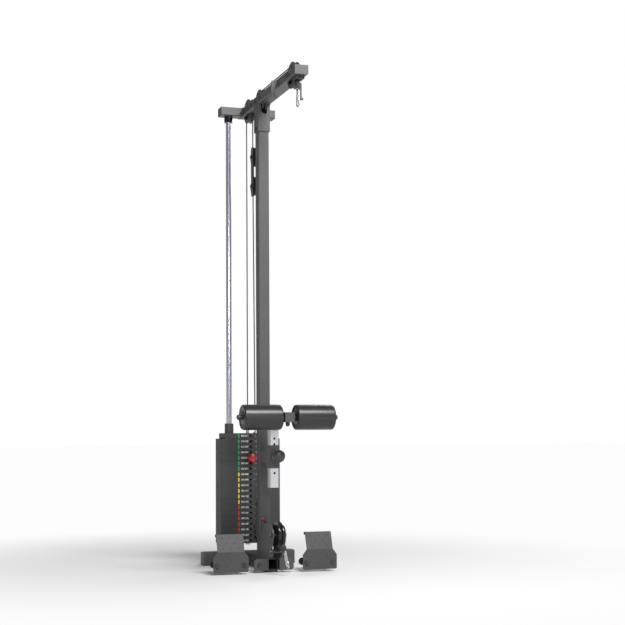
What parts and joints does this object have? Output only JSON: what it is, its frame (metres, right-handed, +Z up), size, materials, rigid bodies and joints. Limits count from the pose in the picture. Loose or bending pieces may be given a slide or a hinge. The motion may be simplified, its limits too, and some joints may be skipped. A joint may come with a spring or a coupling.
{
  "type": "lat pulldown machine",
  "caption": "Tower cable machine with a top arm, floating double pulley, pinned weight stack, low row pulley and padded leg holder.",
  "frame": {"origin": "on the floor, on the underside of the foot beam, below the centre line of the weight stack", "axes": "+X to the user's right, +Y away from the user, +Z up"},
  "size_m": [0.561, 0.836, 2.173],
  "materials": {
    "powder_coat": "charcoal powder coat, fine satin",
    "black_plastic": "moulded black plastic",
    "black_rubber": "matt black rubber",
    "black_fastener": "black oxide steel",
    "chrome_rod": "polished chrome",
    "stack_iron": "dark coated steel plate",
    "bush_nylon": "dark nylon",
    "zinc_steel": "bright zinc plate",
    "dark_steel": "black coated steel",
    "tread_plate": "grey tread plate",
    "pulley_nylon": "glossy black nylon",
    "cable_jacket": "black nylon jacket",
    "lanyard_cord": "black braided cord",
    "knob_red": "red moulded plastic",
    "roller_foam": "black vinyl over foam"
  },
  "bodies": {
    "frame": {"base_tube": "powder_coat", "rear_crossbeam": "powder_coat", "tube_end_caps": "black_plastic", "front_foot_pad": "black_rubber", "tower": "powder_coat", "tower_sleeve": "powder_coat", "frame_bolts": "black_fastener", "top_arm": "powder_coat", "top_crossbeam": "powder_coat", "rack_clamp_straps": "powder_coat", "top_axle_bolts": "black_fastener", "guide_rods": "chrome_rod", "rod_collars": "chrome_rod", "rod_bumpers": "black_rubber", "weight_plates_resting": "stack_iron", "low_pulley_cheeks": "powder_coat", "lower_pulley_bolts": "black_fastener", "base_pulley_cheeks": "powder_coat", "leg_sleeve": "powder_coat", "pop_pin_barrel": "zinc_steel", "foot_plates": "tread_plate", "lat_stop_bumper": "black_rubber", "parked_pin": "black_plastic", "lat_cable_fixed": "cable_jacket", "lat_cable_drop": "cable_jacket", "block_upper_runs": "cable_jacket", "block_lower_runs": "cable_jacket", "stack_cable_run": "cable_jacket", "low_cable_fixed": "cable_jacket"},
    "stack": {"head_plate": "stack_iron", "weight_plates_lifted": "stack_iron", "head_plate_bushes": "bush_nylon", "selector_rod": "chrome_rod", "stack_cable_fitting": "chrome_rod", "selector_lanyard": "lanyard_cord"},
    "pin": {"selector_pin": "zinc_steel", "selector_knob": "knob_red"},
    "lat_end": {"lat_cable_stopper": "black_rubber"},
    "lat_hook_body": {"lat_hook": "zinc_steel"},
    "lat_gate": {"lat_hook_gate": "zinc_steel"},
    "block": {"block_cheeks": "powder_coat", "block_axles": "black_fastener", "block_cable_turns": "cable_jacket"},
    "block_upper_wheel": {"block_upper_pulley": "pulley_nylon"},
    "block_lower_wheel": {"block_lower_pulley": "pulley_nylon"},
    "front_wheel": {"front_pulley": "pulley_nylon"},
    "mid_wheel": {"mid_pulley": "pulley_nylon"},
    "rear_wheel": {"rear_pulley": "pulley_nylon"},
    "low_wheel": {"low_pulley": "pulley_nylon"},
    "base_wheel": {"base_pulley": "pulley_nylon"},
    "low_end": {"low_ball_stop": "black_rubber"},
    "low_hook_body": {"low_hook": "zinc_steel"},
    "low_gate": {"low_hook_gate": "zinc_steel"},
    "leg_holder": {"leg_post": "zinc_steel", "leg_arm": "powder_coat", "roller_shaft": "dark_steel", "shaft_clamp_knob": "black_plastic"},
    "left_roller": {"foam_roller_left": "roller_foam"},
    "right_roller": {"foam_roller_right": "roller_foam"},
    "leg_pin": {"pop_pin": "black_plastic"}
  },
  "joints": [
    {"name": "stack_lift", "type": "slide", "parent": "frame", "child": "stack", "axis": [0, 0, 1], "range_m": [0, 1.2], "deforming": ["stack_cable_run"]},
    {"name": "lat_pull", "type": "slide", "parent": "frame", "child": "lat_end", "axis": [0, 0, -1], "range_m": [0, 1.2], "deforming": ["lat_cable_drop"]},
    {"name": "front_pulley_spin", "type": "hinge", "parent": "frame", "child": "front_wheel", "pos_m": [0, -0.69, 2.116], "axis": [1, 0, 0], "range_deg": [-5, 1413]},
    {"name": "mid_pulley_spin", "type": "hinge", "parent": "frame", "child": "mid_wheel", "pos_m": [0, -0.229, 2.116], "axis": [1, 0, 0], "range_deg": [-5, 1413]},
    {"name": "rear_pulley_spin", "type": "hinge", "parent": "frame", "child": "rear_wheel", "pos_m": [0, -0.049, 2.116], "axis": [1, 0, 0], "range_deg": [-5, 1413]},
    {"name": "block_drop", "type": "slide", "parent": "frame", "child": "block", "axis": [0, 0, -1], "range_m": [0, 0.45], "stiffness_N_per_m": 20, "springref_m": -1.2, "deforming": ["block_upper_runs", "block_lower_runs"]},
    {"name": "block_upper_spin", "type": "hinge", "parent": "block", "child": "block_upper_wheel", "pos_m": [0, -0.139, 1.877], "axis": [1, 0, 0], "range_deg": [-1687, 5]},
    {"name": "block_lower_spin", "type": "hinge", "parent": "block", "child": "block_lower_wheel", "pos_m": [0, -0.139, 1.74], "axis": [1, 0, 0], "range_deg": [-639, 5]},
    {"name": "low_pull", "type": "slide", "parent": "frame", "child": "low_end", "axis": [0, -1, 0], "range_m": [0, 0.9]},
    {"name": "low_pulley_spin", "type": "hinge", "parent": "frame", "child": "low_wheel", "pos_m": [0, -0.44, 0.165], "axis": [1, 0, 0], "range_deg": [-1062, 5]},
    {"name": "base_pulley_spin", "type": "hinge", "parent": "frame", "child": "base_wheel", "pos_m": [0, -0.166, 0.157], "axis": [1, 0, 0], "range_deg": [-1268, 5]},
    {"name": "selector_pin_pull", "type": "slide", "parent": "stack", "child": "pin", "axis": [0, -1, 0], "range_m": [0, 0.075]},
    {"name": "lat_hook_swing", "type": "hinge", "parent": "lat_end", "child": "lat_hook_body", "pos_m": [0, -0.739, 2.03764], "axis": [1, 0, 0], "range_deg": [-60, 60]},
    {"name": "lat_gate_open", "type": "hinge", "parent": "lat_hook_body", "child": "lat_gate", "pos_m": [0, -0.75113, 1.99531], "axis": [-1, 0, 0], "range_deg": [0, 14], "stiffness_Nm_per_rad": 0.02, "springref_deg": -11.46},
    {"name": "low_hook_swing", "type": "hinge", "parent": "low_end", "child": "low_hook_body", "pos_m": [0.00153, -0.5335, 0.10015], "axis": [0.9816, 0, 0.1908], "range_deg": [-70, 15]},
    {"name": "low_gate_open", "type": "hinge", "parent": "low_hook_body", "child": "low_gate", "pos_m": [0.0096, -0.54563, 0.05859], "axis": [-0.9816, 0, -0.1908], "range_deg": [0, 14], "stiffness_Nm_per_rad": 0.02, "springref_deg": -11.46},
    {"name": "leg_height", "type": "slide", "parent": "frame", "child": "leg_holder", "axis": [0, 0, 1], "range_m": [-0.075, 0.075]},
    {"name": "roller_left_spin", "type": "hinge", "parent": "leg_holder", "child": "left_roller", "pos_m": [0, -0.581, 0.67], "axis": [1, 0, 0], "continuous": true},
    {"name": "roller_right_spin", "type": "hinge", "parent": "leg_holder", "child": "right_roller", "pos_m": [0, -0.581, 0.67], "axis": [1, 0, 0], "continuous": true},
    {"name": "pop_pin_pull", "type": "slide", "parent": "frame", "child": "leg_pin", "axis": [0, -1, 0], "range_m": [0, 0.012], "stiffness_N_per_m": 600, "springref_m": -0.01}
  ],
  "couplings": [
    {"joint": "lat_pull", "follows": "stack_lift", "ratio": 1},
    {"joint": "front_pulley_spin", "follows": "stack_lift", "rad_per_m": 20.408},
    {"joint": "mid_pulley_spin", "follows": "stack_lift", "rad_per_m": 20.408},
    {"joint": "rear_pulley_spin", "follows": "stack_lift", "rad_per_m": 20.408},
    {"joint": "block_upper_spin", "follows": "stack_lift", "rad_per_m": -24.39},
    {"joint": "low_pull", "follows": "block_drop", "ratio": 2},
    {"joint": "low_pulley_spin", "follows": "block_drop", "rad_per_m": -40.816},
    {"joint": "base_pulley_spin", "follows": "block_drop", "rad_per_m": -48.78},
    {"joint": "block_lower_spin", "follows": "block_drop", "rad_per_m": -24.39}
  ]
}
